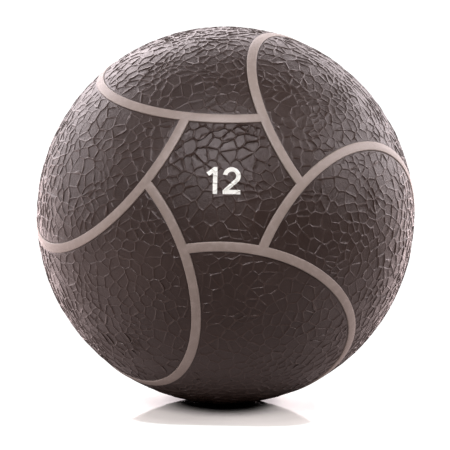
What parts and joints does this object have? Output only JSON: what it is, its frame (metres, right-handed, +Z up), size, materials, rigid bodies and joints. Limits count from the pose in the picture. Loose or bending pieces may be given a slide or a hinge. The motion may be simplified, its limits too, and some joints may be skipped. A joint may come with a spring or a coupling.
{
  "type": "medicine ball",
  "caption": "Round rubber exercise weight with dark vein-textured cover panels, raised pale seam ribs, a heavy hollow core, an air bladder and a needle valve.",
  "frame": {"origin": "the ball's centre", "axes": "+Z up; the axis through the two hexagonal panels lies in the YZ plane, and the front hexagon faces -Y and 16.5 degrees upwards; +X runs through two seam circles' symmetry line and is a two-fold axis of the cover pattern"},
  "size_m": [0.24, 0.2398, 0.2384],
  "materials": {
    "cover_rubber": "satin",
    "rib_rubber": "matte",
    "core_rubber": "matte",
    "bladder_rubber": "satin",
    "valve_rubber": "satin",
    "valve_plug": "matte",
    "winding_thread": "matte"
  },
  "bodies": {
    "root": {"bladder": "bladder_rubber", "valve_housing": "valve_rubber", "valve_core": "valve_plug", "core_half_front": "core_rubber", "core_half_rear": "core_rubber", "winding_layer": "winding_thread", "hex_panel_front": "cover_rubber", "hex_panel_rear": "cover_rubber", "petal_panel_1": "cover_rubber", "petal_panel_2": "cover_rubber", "petal_panel_3": "cover_rubber", "petal_panel_4": "cover_rubber", "petal_panel_5": "cover_rubber", "petal_panel_6": "cover_rubber", "seam_rib_1": "rib_rubber", "seam_rib_2": "rib_rubber", "seam_rib_3": "rib_rubber", "seam_rib_4": "rib_rubber", "seam_rib_5": "rib_rubber", "seam_rib_6": "rib_rubber"}
  },
  "joints": []
}
